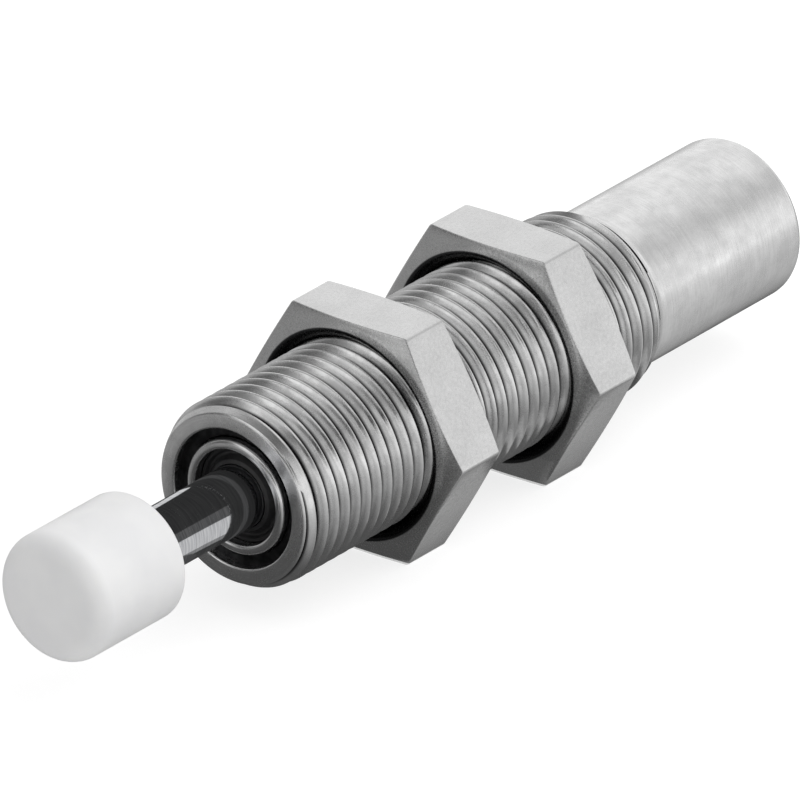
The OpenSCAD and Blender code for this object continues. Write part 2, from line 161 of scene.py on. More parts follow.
def grey_card(name, corner, along, across, greys):
    """A card that only mirrors see. greys lists its brightness as (distance across in mm,
    brightness), and the brightness runs evenly between them."""
    card = stage_sheet(name, corner, along, across)
    mirror_only(card)
    side = Vector(across) * MM
    material, tree = blank_material(name + "_paint")
    place = add(tree, "TexCoord").outputs["Object"]
    offset = add(tree, "VectorMath", {0: place, 1: Vector(corner) * MM}, operation="SUBTRACT")
    share = add(tree, "VectorMath", {0: offset.outputs[0], 1: side / side.length_squared},
                operation="DOT_PRODUCT")
    ramp = add(tree, "ValToRGB", {"Fac": share.outputs["Value"]})
    stops = ramp.color_ramp.elements
    while len(stops) < len(greys):
        stops.new(0.5)
    for stop, (position, grey) in zip(stops, greys):
        stop.position = position * MM / side.length
        stop.color = (grey, grey, grey, 1)
    glow = add(tree, "Emission", {"Color": ramp.outputs["Color"], "Strength": 1.0})
    add(tree, "OutputMaterial", {"Surface": glow.outputs[0]})
    card.data.materials.append(material)


def soft_lamp(name, direction, distance, size, watts):
    """A square area lamp that shines at the middle of the body from one direction. Mirrors
    don't show it."""
    data = bpy.data.lights.new(name, "AREA")
    data.size = size * MM
    data.energy = watts
    lamp = bpy.data.objects.new(name, data)
    bpy.context.scene.collection.objects.link(lamp)
    away = Vector(direction).normalized()
    lamp.location = VIEW_TARGET + away * distance * MM
    lamp.rotation_mode = "QUATERNION"
    lamp.rotation_quaternion = away.to_track_quat("Z", "Y")
    lamp.visible_glossy = False


floor_level = min(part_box("front_nut")[0].z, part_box("rear_nut")[0].z) / MM
floor = stage_sheet("studio_floor", (-FLOOR_REACH, -FLOOR_REACH, floor_level),
                    (2 * FLOOR_REACH, 0, 0), (0, 2 * FLOOR_REACH, 0))
material, tree = blank_material("pale_floor_paint")
level = add(tree, "MapRange", {"Value": background_rays(tree), "To Min": FLOOR_FILL,
                               "To Max": FLOOR_GLOW})
glow = add(tree, "Emission", {"Strength": level.outputs[0]})
matt = add(tree, "BsdfDiffuse", {"Color": linear(FLOOR_COLOUR)})
both = add(tree, "AddShader", {0: matt.outputs[0], 1: glow.outputs[0]})
add(tree, "OutputMaterial", {"Surface": both.outputs[0]})
floor.data.materials.append(material)

world = bpy.data.worlds.new("studio_world")
bpy.context.scene.world = world
world.use_nodes = True
tree = world.node_tree
tree.nodes.clear()
level = add(tree, "MapRange", {"Value": background_rays(tree), "To Min": SKY_FILL, "To Max": 1.0})
sky = add(tree, "Background", {"Color": linear("ffffff"), "Strength": level.outputs[0]})
add(tree, "OutputWorld", {"Surface": sky.outputs[0]})

soft_lamp("key_light", (-0.4, 0.5, 1.0), 500, 600, 1.6)
ground = floor_level + CARD_LIFT
grey_card("front_ground_card", (-10.9, -120, ground), (400, 0, 0), (0, 180, 0), [
    (104, 0.33), (106, 0.25), (108, 0.13), (110.5, 0.08), (115, 0.1), (119, 0.08),
    (125.5, 0.1), (127, 0.15), (129, 0.28), (132, 0.37), (135, 0.47), (149, 0.65), (180, 0.9),
])
grey_card("nut_ground_card", (-36, -80, ground), (25.1, 0, 0), (0, 140, 0), [
    (0, 0.6), (40, 0.5), (64, 0.3), (76, 0.12), (84, 0.13), (84.6, 0.27), (85.5, 0.36),
    (86.5, 0.4), (87.8, 0.5), (88.6, 0.24), (91.5, 0.28), (95, 0.42), (110, 0.65), (130, 0.95),
])
grey_card("barrel_ground_card", (-140, -150, ground), (104, 0, 0), (0, 200, 0), [
    (0, 0.7), (110, 0.6), (134, 0.3), (147, 0.05), (150, 0.06), (151.3, 0.14), (152.5, 0.3),
    (154, 0.42), (156, 0.52), (160, 0.62), (165, 0.7), (180, 0.8), (200, 0.95),
])
grey_card("middle_thread_card", (-23.9, 3, THREAD_CARD_Z), (7.9, 0, 0), (0, 2.6, 0), [
    (0, 0.1), (2.6, 0.12),
])
grey_card("rear_thread_card", (-33, 2.5, THREAD_CARD_Z), (4.3, 0, 0), (0, 3.1, 0), [
    (0, 0.08), (3.1, 0.1),
])
grey_card("rear_thread_ground_card", (-23.9, 4.4, ground + CARD_GAP), (3.4, 0, 0), (0, 4.6, 0), [
    (0, 0.1), (2.6, 0.12), (4.6, 0.22),
])
grey_card("left_card", (-60, -120, floor_level), (0, 0, 130), (320, 0, 0), [
    (0, 0.5), (100, 0.5), (118, 0.22), (138, 0.13), (170, 0.1), (190, 0.15), (216, 0.3),
    (260, 0.6), (320, 0.8),
])
grey_card("roof_card", (-900, 0, ROOF_HEIGHT), (900, 0, 0), (0, 900, 0), [
    (0, 0.95), (41, 0.885), (141, 0.725), (227, 0.66), (371, 0.77), (600, 0.95), (700, 1.0),
])
grey_card("front_roof_card", (0, -500, ROOF_HEIGHT), (220, 0, 0), (0, 1150, 0), [
    (0, 0.5), (304, 0.37), (488, 0.22), (600, 0.13), (700, 0.18), (830, 0.65), (1150, 0.75),
])
grey_card("far_front_card", (200, -84, 59.5), (0, 105, 158), (0, 125, -83), [
    (0, 0.95), (40, 0.55), (68, 0.12), (92, 0.15), (118, 0.7), (130, 1.0),
])
to_lens = (bpy.context.scene.camera.location - VIEW_TARGET).normalized()


def facing_card(name, before, distance, size, grey):
    """A square card of one grey that faces the lens, at a distance in front of a point in mm."""
    sideways = to_lens.cross(Vector((0, 0, 1))).normalized() * size
    upwards = sideways.cross(to_lens).normalized() * size
    corner = Vector(before) + to_lens * distance - (sideways + upwards) / 2
    grey_card(name, corner, sideways, upwards, [(0, grey), (size, grey)])


facing_card("lens_side_card", VIEW_TARGET / MM, 400, 140, 0.1)
facing_card("rod_side_card", (3, 1.5, 1.3), 26, 12.32, 0.05)


def collar_card(name, start, end, inner, outer, grey):
    """A flat sector round the rod, just in front of the body's face, given by two angles in
    degrees and two radii in mm. The rod mirrors it, and the body behind it sees through it."""
    turns = np.radians(np.linspace(start, end, COLLAR_STEPS))
    angle, radius = np.meshgrid(turns, [inner, outer])
    x = np.full_like(angle, COLLAR_X)
    points = np.stack([x, radius * np.cos(angle), radius * np.sin(angle)], -1).reshape(-1, 3)
    count = angle.shape[1]
    faces = [(i, i + count, i + count + 1, i + 1) for i in range(count - 1)]
    mesh = bpy.data.meshes.new(name)
    mesh.from_pydata((points * MM).tolist(), [], faces)
    card = bpy.data.objects.new(name, mesh)
    bpy.context.scene.collection.objects.link(card)
    mirror_only(card)
    material, tree = blank_material(name + "_paint")
    glow = add(tree, "Emission", {"Color": (grey, grey, grey, 1), "Strength": 1.0})
    clear = add(tree, "BsdfTransparent")
    back = add(tree, "NewGeometry").outputs["Backfacing"]
    side = add(tree, "MixShader", {0: back, 1: glow.outputs[0], 2: clear.outputs[0]})
    add(tree, "OutputMaterial", {"Surface": side.outputs[0]})
    mesh.materials.append(material)


for part, start, end, inner, outer, grey in (
    ("wiper", 0, 360, 2.25, 2.95, 0.03),
    ("gland", 0, 360, 2.95, 3.5, 0.08),
    ("face", 0, 360, 3.5, 5.0, 0.04),
    ("shade", 3, 30, 5.0, COLLAR_OUT, 0.12),
    ("above", 30, 143, 5.0, COLLAR_OUT, 0.04),
    ("line", 143, 168, 5.0, COLLAR_OUT, 0.8),
    ("below", 168, 300, 5.0, COLLAR_OUT, 0.06),
    ("edge", 300, 314, 5.0, COLLAR_OUT, 0.3),
    ("right", 314, 363, 5.0, COLLAR_OUT, 0.7),
):
    collar_card("collar_card_" + part, start, end, inner, outer, grey)

bpy.context.scene.view_settings.view_transform = "Standard"

# --------------------------------------------------------------------------------------------
# Threaded body: one turned steel tube with a cut M12x1 thread, nickel plated. Its thread is
# chamfered at the front and runs out into a smooth barrel; painted shade darkens the thread's root.
COLUMNS = 144
PITCH = 1.0
CREST_R = 6.0
ROOT_R = 5.42
LEAD_R = 5.42
LEAD_SLOPE = 0.577
LEAD_EDGE = -0.13
LEAD_TURN = 0.6
THREAD_BACK = -32.8
RUNOUT_BACK = -34.8
BARREL_R = 5.2
BODY_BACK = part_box("outer_tube")[0].x / MM
THREAD_SAMPLES = [-0.11, -0.075, -0.04, 0, 0.04, 0.075, 0.11, 0.2, 0.3, 0.36, 0.42, 0.5, 0.58,
                  0.64, 0.7, 0.8]
CREST_FLAT = 0.0625
FLANK_RUN = 0.3125
MERGE_GAP = 0.0002
SHARP_EDGE = math.radians(35)


def skin(name, x, y, z, **fields):
    """Makes a closed surface from a grid of points in mm, given as three arrays of rows and
    columns. Rows and columns that meet are merged, and each field becomes a point attribute."""
    index = np.arange(x.size).reshape(x.shape)
    quads = np.stack([index[:-1, :-1], index[:-1, 1:], index[1:, 1:], index[1:, :-1]], -1)
    mesh = bpy.data.meshes.new(name)
    points = np.stack([x, y, z], -1).reshape(-1, 3) * MM
    mesh.from_pydata(points.tolist(), [], quads.reshape(-1, 4).tolist())
    for field, values in fields.items():
        made = mesh.attributes.new(field, "FLOAT", "POINT")
        made.data.foreach_set("value", values.astype(np.float32).ravel())
    work = bmesh.new()
    work.from_mesh(mesh)
    bmesh.ops.remove_doubles(work, verts=work.verts, dist=MERGE_GAP * MM)
    bmesh.ops.recalc_face_normals(work, faces=work.faces)
    work.to_mesh(mesh)
    work.free()
    mesh.shade_smooth()
    mesh.set_sharp_from_angle(angle=SHARP_EDGE)
    piece = bpy.data.objects.new(name, mesh)
    bpy.context.scene.collection.objects.link(piece)
    return piece


def eased(corners, steps=6):
    """Rounds an outline given as (x, radius, corner radius): a corner becomes an arc that
    touches both of its sides, and a corner radius of 0 leaves it sharp."""
    points = []
    for i, (x, r, size) in enumerate(corners):
        here = np.array([x, r], float)
        if size == 0:
            points.append(here)
            continue
        before = np.array(corners[i - 1][:2], float) - here
        after = np.array(corners[i + 1][:2], float) - here
        before, after = before / np.linalg.norm(before), after / np.linalg.norm(after)
        half = math.acos(np.clip(before @ after, -1, 1)) / 2
        middle = here + (before + after) / np.linalg.norm(before + after) * size / math.sin(half)
        start = here + before * size / math.tan(half) - middle
        end = here + after * size / math.tan(half) - middle
        for share in np.linspace(0, 1, steps):
            spoke = start * (1 - share) + end * share
            points.append(middle + spoke / np.linalg.norm(spoke) * size)
    return np.array(points)


def turned(name, outline):
    """Turns an outline of (x, radius) points once round the X axis."""
    turn = np.linspace(0, 2 * np.pi, COLUMNS + 1)
    x = np.repeat(outline[:, :1], COLUMNS + 1, 1)
    r = np.repeat(outline[:, 1:], COLUMNS + 1, 1)
    return skin(name, x, r * np.cos(turn), r * np.sin(turn))


def thread_depth(phase):
    """Share of the thread's depth at a phase in pitches: none over a crest flat of an eighth of
    a pitch, then straight flanks, and all of it over the root, with both bends eased."""
    off = np.abs((phase + 0.5) % 1 - 0.5)
    run = (off - CREST_FLAT) / FLANK_RUN
    crest, root = 0.07, 0.14
    low = np.where(run < crest, np.clip(run + crest, 0, None) ** 2 / (4 * crest), run)
    rest = 1 - run
    high = 1 - np.where(rest < root, np.clip(rest + root, 0, None) ** 2 / (4 * root), rest)
    return np.clip(np.where(run < 0.5, low, high), 0, 1)


def thread_rows():
    """Rows that follow the helix: at a given turn, row j lies its own phase plus the turn, in
    pitches, behind the front. The rows are held between the thread's ends, where they merge,
    and a 30 degree lead in front and a soft step behind cut the thread down."""
    turns = int(-RUNOUT_BACK / PITCH) + 3
    along = (np.arange(turns)[:, None] + np.array(THREAD_SAMPLES)).ravel() - 1
    turn = np.linspace(0, 1, COLUMNS + 1)
    x = np.clip(-PITCH * (along[:, None] + turn), RUNOUT_BACK, LEAD_EDGE)
    depth = thread_depth(-x / PITCH - turn - LEAD_TURN)
    r = CREST_R - (CREST_R - ROOT_R) * depth
    lead = LEAD_R - x * LEAD_SLOPE
    rise = np.clip((x - RUNOUT_BACK) / (THREAD_BACK - RUNOUT_BACK), 0, 1)
    tail = BARREL_R + (CREST_R - BARREL_R) * rise * rise * (3 - 2 * rise)
    cut = np.minimum(lead, tail)
    return x, np.minimum(r, cut), np.where(r < cut, depth, 0)


thread_x, thread_r, groove = thread_rows()
behind_thread = eased([
    (RUNOUT_BACK, BARREL_R, 0), (BODY_BACK, BARREL_R, 0.5),
    (BODY_BACK, 1.52, 0.12), (-46.85, 1.52, 0), (-46.85, 1.02, 0), (-45.05, 1.02, 0),
    (-45.05, 0.6, 0), (-44.0, 0.6, 0), (-44.0, 4.0, 0), (-9.05, 4.0, 0), (-9.05, 4.45, 0),
    (-1.5, 4.45, 0), (-1.5, 4.75, 0), (-0.7, 4.75, 0), (-0.7, 4.45, 0), (0, 4.45, 0.12),
    (0, LEAD_R, 0.25), (LEAD_EDGE, LEAD_R - LEAD_EDGE * LEAD_SLOPE, 0),
])
turn = np.linspace(0, -2 * np.pi, COLUMNS + 1)
body_x = np.vstack([thread_x, np.repeat(behind_thread[:, :1], COLUMNS + 1, 1)])
body_r = np.vstack([thread_r, np.repeat(behind_thread[:, 1:], COLUMNS + 1, 1)])
# The thread's depth share also sets how much shade is painted into its root.
groove = np.vstack([groove, np.zeros((len(behind_thread), COLUMNS + 1))])
body_tube = skin("body_tube", body_x, body_r * np.cos(turn), body_r * np.sin(turn), groove=groove)


def turned_steel(name, colour, worn, roughness):
    """Turned and nickel plated steel. The tool leaves rings 0.1 mm apart and finer, which make
    the gloss streaky round the axis, the plating is blotchy over a millimetre or so, and where
    a piece carries the shade mask attribute, painted shade darkens its base colour near black."""
    material, tree = blank_material(name)
    place = add(tree, "TexCoord").outputs["Object"]
    axes = add(tree, "SeparateXYZ", {0: place})
    across = add(tree, "VectorMath", {0: place, 1: (0, 1, 1)}, operation="MULTIPLY")
    radius = add(tree, "VectorMath", {0: across.outputs[0]}, operation="LENGTH")
    lean = add(tree, "Math", {0: radius.outputs["Value"], 1: 0.61}, operation="MULTIPLY")
    pass_at = add(tree, "Math", {0: axes.outputs["X"], 1: lean.outputs[0]}, operation="ADD")
    packed = add(tree, "Math", {0: pass_at.outputs[0], 1: 24.0}, operation="MULTIPLY")
    pass_vector = add(tree, "CombineXYZ", {"X": packed.outputs[0], "Y": axes.outputs["Y"],
                                           "Z": axes.outputs["Z"]})
    marks = add(tree, "TexNoise", {"Vector": pass_vector.outputs[0], "Scale": 420.0,
                                   "Detail": 4.0, "Roughness": 0.65})
    blotch = add(tree, "TexNoise", {"Vector": place, "Scale": 700.0, "Detail": 5.0,
                                    "Roughness": 0.62})
    tone = add(tree, "MapRange", {"Value": blotch.outputs["Fac"], "From Min": 0.35,
                                  "From Max": 0.65, "To Min": 0.0, "To Max": 0.35})
    streak = add(tree, "MapRange", {"Value": marks.outputs["Fac"], "From Min": 0.3,
                                    "From Max": 0.7, "To Min": 0.0, "To Max": 0.3})
    shade = add(tree, "Math", {0: tone.outputs[0], 1: streak.outputs[0]}, operation="ADD")
    metal = add(tree, "Mix", {0: shade.outputs[0], 6: linear(colour), 7: linear(worn)},
                data_type="RGBA")
    # Painted shade: the base colour goes near black towards the thread's root, following the mask
    # attribute.
    groove = add(tree, "Attribute", attribute_name="groove")
    painted_root_shade = add(tree, "MapRange", {"Value": groove.outputs["Fac"], "From Min": 0.6,
                                 "From Max": 0.95}, interpolation_type="SMOOTHSTEP")
    paint = add(tree, "Mix", {0: painted_root_shade.outputs[0], 6: metal.outputs[2], 7: linear("1a1a1b")},
                data_type="RGBA")
    rough = add(tree, "MapRange", {"Value": blotch.outputs["Fac"], "From Min": 0.3,
                                   "From Max": 0.7, "To Min": roughness - 0.05,
                                   "To Max": roughness + 0.1})
    uneven = add(tree, "Bump", {"Height": blotch.outputs["Fac"], "Distance": 0.012 * MM,
                                "Strength": 0.9})
    fine = add(tree, "Bump", {"Height": marks.outputs["Fac"], "Distance": 0.01 * MM,
                              "Strength": 0.25, "Normal": uneven.outputs[0]})
    shader = add(tree, "BsdfPrincipled", {"Base Color": paint.outputs[2], "Metallic": 1.0,
                                          "Roughness": rough.outputs[0],
                                          "Normal": fine.outputs[0]})
    add(tree, "OutputMaterial", {"Surface": shader.outputs[0]})
    return material


def fit(piece, material, body, slot, *nodes):
    """Gives a new piece its material and its body, and hides the nodes it stands for.
    slot: not used.
    """
    piece.data.materials.append(material)
    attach(piece, body)
    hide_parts(*nodes)


fit(body_tube, turned_steel("nickel_plated_turned_steel", "eaeaea", "b6b6b6", 0.22), "barrel",
    "plated_steel", "outer_tube")

# --------------------------------------------------------------------------------------------
# Two thin hexagon nuts, cut from drawn hexagon bar, chamfered, tumbled and nickel plated. They
# clamp the body in its mounting hole; their flats are matt and all their edges are softened.
NUT_FLAT_R = 7.5
NUT_T = 4.0
NUT_FACE_R = 7.3
NUT_CHAMFER = math.radians(12)
NUT_BORE_R = 6.03
NUT_SINK_R = 6.6
NUT_SINK_L = 0.6
# Shade is painted on the nut out to this radius round its hole.
NUT_SHADE_R = 6.75
NUT_SHADE_FADE = 0.08
NUT_EASE = 0.05
NUT_EDGE_R = 0.13
NUT_CORNER_R = 0.35
NUT_FLAT_POINTS = 15
NUT_BEND_POINTS = 8


def hexagon():
    """Angles and radii of a hexagon round the X axis with flats above and below: each sixth is
    a straight flat, then an arc about a point inside the corner."""
    half = math.pi / 6
    inset = (NUT_FLAT_R - NUT_CORNER_R) / math.cos(half)
    flat_y = (NUT_FLAT_R - NUT_CORNER_R) * math.tan(half)
    flat = np.stack([np.full(NUT_FLAT_POINTS, NUT_FLAT_R),
                     np.linspace(-flat_y, flat_y, NUT_FLAT_POINTS)])
    bend = np.linspace(0, 2 * half, NUT_BEND_POINTS)[1:-1]
    arc = np.stack([inset * math.cos(half) + NUT_CORNER_R * np.cos(bend),
                    inset * math.sin(half) + NUT_CORNER_R * np.sin(bend)])
    side = np.hstack([flat, arc])
    angle = np.arctan2(side[1], side[0])
    radius = np.hypot(side[0], side[1])
    sixths = half + np.arange(6)[:, None] * 2 * half
    return (np.append((sixths + angle).ravel(), half + angle[0] + 2 * math.pi),
            np.append(np.tile(radius, 6), radius[0]))


def hexagon_nut(name, face):
    """A closed loop of rows at each angle of the hexagon: bore, countersink, face, chamfer cone
    out to the hexagon's own radius with an eased edge, flat, and the same again behind. Its
    shade mask is 1 where shade is painted: in the bore, the countersink and a line round it."""
    angle, reach = hexagon()
    same = np.ones_like(reach)
    half = []
    for x, r in (
        (-NUT_T / 2, NUT_BORE_R), (-NUT_SINK_L, NUT_BORE_R), (-0.06, NUT_SINK_R - NUT_EASE),
        (0.0, NUT_SINK_R + NUT_EASE), (0.0, NUT_SHADE_R), (0.0, NUT_SHADE_R + NUT_SHADE_FADE),
        (0.0, NUT_FACE_R - NUT_EASE), (-0.008, NUT_FACE_R + 0.04),
    ):
        half.append((x * same, r * same))
    slope = NUT_EDGE_R + math.sin(NUT_CHAMFER) * (reach - NUT_EDGE_R - NUT_FACE_R)
    for bend in np.linspace(NUT_CHAMFER, math.pi / 2, 6):
        half.append((NUT_EDGE_R * math.cos(bend) - slope / math.cos(NUT_CHAMFER),
                     reach - NUT_EDGE_R + NUT_EDGE_R * math.sin(bend)))
    half.append((-NUT_T / 2 * same, reach))
    front_x = np.array([x for x, r in half])
    front_r = np.array([r for x, r in half])
    x = np.vstack([front_x, -NUT_T - front_x[::-1]])
    r = np.vstack([front_r, front_r[::-1]])
    # Painted shade mask: 1 in the bore, the countersink and a ring round it.
    shade_hollow_mask = (r <= NUT_SHADE_R).astype(float)
    return skin(name, x + face, r * np.cos(angle), r * np.sin(angle), groove=shade_hollow_mask)


def tumbled_steel(name, colour, dull, roughness):
    """Tumbled and plated steel: an even matt grain of 0.2 mm and finer, light and dark specks,
    and a soft sheen that wanders over the flats. Where a piece carries the shade mask
    attribute, painted shade darkens its base colour."""
    material, tree = blank_material(name)
    place = add(tree, "TexCoord").outputs["Object"]
    grain = add(tree, "TexNoise", {"Vector": place, "Scale": 5200.0, "Detail": 3.0,
                                   "Roughness": 0.6})
    cloud = add(tree, "TexNoise", {"Vector": place, "Scale": 420.0, "Detail": 4.0,
                                   "Roughness": 0.6})
    speck = add(tree, "MapRange", {"Value": grain.outputs["Fac"], "From Min": 0.32,
                                   "From Max": 0.68, "To Min": 0.0, "To Max": 0.45})
    sheen = add(tree, "MapRange", {"Value": cloud.outputs["Fac"], "From Min": 0.35,
                                   "From Max": 0.65, "To Min": 0.0, "To Max": 0.35})
    shade = add(tree, "Math", {0: speck.outputs[0], 1: sheen.outputs[0]}, operation="ADD")
    metal = add(tree, "Mix", {0: shade.outputs[0], 6: linear(colour), 7: linear(dull)},
                data_type="RGBA")
    # Painted shade: the base colour goes dark where the nut's shade mask is 1.
    groove = add(tree, "Attribute", attribute_name="groove")
    paint = add(tree, "Mix", {0: groove.outputs["Fac"], 6: metal.outputs[2],
                              7: linear("3a3a3b")}, data_type="RGBA")
    rough = add(tree, "MapRange", {"Value": grain.outputs["Fac"], "From Min": 0.3,
                                   "From Max": 0.7, "To Min": roughness - 0.06,
                                   "To Max": roughness + 0.08})
    tumbled = add(tree, "Bump", {"Height": grain.outputs["Fac"], "Distance": 0.015 * MM,
                                 "Strength": 0.4})
    shader = add(tree, "BsdfPrincipled", {"Base Color": paint.outputs[2], "Metallic": 1.0,
                                          "Roughness": rough.outputs[0],
                                          "Normal": tumbled.outputs[0]})
    add(tree, "OutputMaterial", {"Surface": shader.outputs[0]})
    return material


nut_steel = tumbled_steel("nickel_plated_tumbled_steel", "dadada", "c4c4c4", 0.26)
for name in ("front_nut", "rear_nut"):
    nut = hexagon_nut(name + "_hexagon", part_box(name)[1].x / MM)
    fit(nut, nut_steel, name, "nut_steel", name)

# --------------------------------------------------------------------------------------------
# Piston rod: ground and hard chromed steel, pushed out by the return spring. A mirror finish,
# with only a trace of the grinding round its axis.
rod_outline = eased([
    (14.8, 0, 0), (14.8, 1.2, 0), (14.5, 1.5, 0), (13.4, 1.5, 0), (13.15, 1.25, 0),
    (12.45, 1.25, 0), (12.2, 1.5, 0), (10.4, 1.5, 0), (10.4, 2, 0.1), (-21.55, 2, 0),
    (-21.55, 1.1, 0), (-26.37, 1.1, 0), (-26.37, 0.8, 0), (-26.77, 0.8, 0), (-26.77, 1.1, 0),
    (-27.02, 1.1, 0), (-27.17, 0.95, 0), (-27.17, 0, 0),
])


def hard_chrome():
    """Hard chrome over ground steel: nearly a mirror, with faint rings 0.15 mm apart and finer
    that blur its reflections a little."""
    material, tree = blank_material("hard_chrome_plate")
    place = add(tree, "TexCoord").outputs["Object"]
    packed = add(tree, "VectorMath", {0: place, 1: (14, 1, 1)}, operation="MULTIPLY")
    grinding = add(tree, "TexNoise", {"Vector": packed.outputs[0], "Scale": 500.0,
                                      "Detail": 3.0})
    shade = add(tree, "MapRange", {"Value": grinding.outputs["Fac"], "From Min": 0.35,
                                   "From Max": 0.65})
    metal = add(tree, "Mix", {0: shade.outputs[0], 6: linear("dcdddf"), 7: linear("c2c3c6")},
                data_type="RGBA")
    rough = add(tree, "MapRange", {"Value": grinding.outputs["Fac"], "To Min": 0.05,
                                   "To Max": 0.11})
    polish = add(tree, "Bump", {"Height": grinding.outputs["Fac"], "Distance": 0.0004 * MM,
                                "Strength": 0.3})
    shader = add(tree, "BsdfPrincipled", {"Base Color": metal.outputs[2], "Metallic": 1.0,
                                          "Roughness": rough.outputs[0],
                                          "Normal": polish.outputs[0]})
    add(tree, "OutputMaterial", {"Surface": shader.outputs[0]})
    return material


fit(turned("chromed_rod", rod_outline), hard_chrome(), "rod", "hard_chrome", "piston_rod")

# --------------------------------------------------------------------------------------------
# Impact cap: moulded white acetal, snapped over the rod's spigot. Dense and slightly waxy, with
# a wide soft edge round its striking face and a faint moulding texture.
cap_outline = eased([
    (14.9, 0, 0), (14.9, 1.52, 0), (13.42, 1.52, 0), (13.15, 1.29, 0), (12.45, 1.29, 0),
    (12.18, 1.52, 0), (10.4, 1.52, 0), (10.4, 2.02, 0), (9.2, 2.02, 0.12), (9.2, 4.075, 0.3),
    (17.1, 4.075, 1.2), (17.1, 0, 0),
], steps=12)


def white_acetal():
    """Moulded acetal: white with a waxy soft gloss, light that sinks in a little, and a skin
    that waves by a few hundredths of a millimetre."""
    material, tree = blank_material("moulded_white_acetal")
    place = add(tree, "TexCoord").outputs["Object"]
    skin_wave = add(tree, "TexNoise", {"Vector": place, "Scale": 900.0, "Detail": 3.0})
    stain = add(tree, "TexNoise", {"Vector": place, "Scale": 260.0, "Detail": 3.0})
    shade = add(tree, "MapRange", {"Value": stain.outputs["Fac"], "From Min": 0.35,
                                   "From Max": 0.65})
    colour = add(tree, "Mix", {0: shade.outputs[0], 6: linear("f0f0f0"), 7: linear("e9e9ea")},
                 data_type="RGBA")
    rough = add(tree, "MapRange", {"Value": skin_wave.outputs["Fac"], "To Min": 0.36,
                                   "To Max": 0.5})
    waved = add(tree, "Bump", {"Height": skin_wave.outputs["Fac"], "Distance": 0.02 * MM,
                               "Strength": 0.3})
    shader = add(tree, "BsdfPrincipled", {"Base Color": colour.outputs[2], "IOR": 1.48,
                                          "Subsurface Weight": 0.15,
                                          "Subsurface Radius": (1.0, 1.0, 0.9),
                                          "Subsurface Scale": 0.6 * MM,
                                          "Roughness": rough.outputs[0],
                                          "Normal": waved.outputs[0]})
    add(tree, "OutputMaterial", {"Surface": shader.outputs[0]})
    return material


fit(turned("acetal_cap", cap_outline), white_acetal(), "rod", "white_plastic", "impact_cap")

# --------------------------------------------------------------------------------------------
# Gland: bright turned steel, held in the body by the snap ring. Its rounded nose shows as a
# light ring round the wiper, and behind it come the O-ring groove, the bush and the seal.
gland_outline = eased([
    (-0.15, 3.05, 0.2), (-0.15, 3.7, 0.3), (-1.5, 3.7, 0), (-1.5, 4.43, 0), (-3.65, 4.43, 0),
    (-3.65, 3.65, 0), (-4.85, 3.65, 0), (-4.85, 4.43, 0), (-9.05, 4.43, 0), (-9.05, 3.32, 0),
    (-5.75, 3.32, 0), (-5.75, 2.72, 0), (-2.75, 2.72, 0), (-2.75, 2.15, 0), (-2.15, 2.15, 0),
    (-2.15, 3.05, 0),
])
gland_outline = np.vstack([gland_outline, gland_outline[:1]])
bright_steel = turned_steel("bright_turned_steel", "dedede", "b0b0b0", 0.2)
fit(turned("gland_body", gland_outline), bright_steel, "barrel", "bright_steel", "gland")

# --------------------------------------------------------------------------------------------
# Snap ring: punched spring steel, blackened in an oxide bath, sprung into the body's groove. Its
# opening stands low on the far side of the rod.
RING_IN = 3.74
RING_OUT = 4.73
RING_FRONT = -0.7
RING_BACK = -1.5
RING_EDGE_R = 0.08
RING_OPENING = math.radians(50)
RING_TURN = math.radians(-140)
RING_STEPS = 120


def open_ring():
    """An eased rectangle carried round the axis from one side of the opening to the other, with
    both ends drawn in to the rectangle's middle."""
    middle_x, middle_r = (RING_FRONT + RING_BACK) / 2, (RING_IN + RING_OUT) / 2
    section = eased([
        (RING_FRONT, middle_r, 0), (RING_FRONT, RING_OUT, RING_EDGE_R),
        (RING_BACK, RING_OUT, RING_EDGE_R), (RING_BACK, RING_IN, RING_EDGE_R),
        (RING_FRONT, RING_IN, RING_EDGE_R), (RING_FRONT, middle_r, 0),
    ], steps=4)
    ends = ((0, 0), (1, 1))
    x = np.pad(np.repeat(section[:, :1], RING_STEPS, 1), ends, constant_values=middle_x)
    r = np.pad(np.repeat(section[:, 1:], RING_STEPS, 1), ends, constant_values=middle_r)
    turn = np.linspace(RING_OPENING / 2, 2 * np.pi - RING_OPENING / 2, RING_STEPS) + RING_TURN
    turn = np.pad(turn, 1, mode="edge")
    return x, r * np.cos(turn), r * np.sin(turn)


def black_oxide():
    """Blackened spring steel: a thin dark oxide skin with a dull oily gloss and faint
    scratches round the axis."""
    material, tree = blank_material("black_oxide_spring_steel")
    place = add(tree, "TexCoord").outputs["Object"]
    packed = add(tree, "VectorMath", {0: place, 1: (6, 1, 1)}, operation="MULTIPLY")
    wear = add(tree, "TexNoise", {"Vector": packed.outputs[0], "Scale": 1400.0, "Detail": 4.0})
    shade = add(tree, "MapRange", {"Value": wear.outputs["Fac"], "From Min": 0.4,
                                   "From Max": 0.7})
    colour = add(tree, "Mix", {0: shade.outputs[0], 6: linear("232324"), 7: linear("3d3d3e")},
                 data_type="RGBA")
    rough = add(tree, "MapRange", {"Value": wear.outputs["Fac"], "To Min": 0.3, "To Max": 0.5})
    pitted = add(tree, "Bump", {"Height": wear.outputs["Fac"], "Distance": 0.01 * MM,
                                "Strength": 0.5})
    shader = add(tree, "BsdfPrincipled", {"Base Color": colour.outputs[2], "Metallic": 1.0,
                                          "Roughness": rough.outputs[0],
                                          "Normal": pitted.outputs[0]})
    add(tree, "OutputMaterial", {"Surface": shader.outputs[0]})
    return material


black_steel = black_oxide()
fit(skin("snap_ring", *open_ring()), black_steel, "barrel", "black_steel", "retaining_ring")

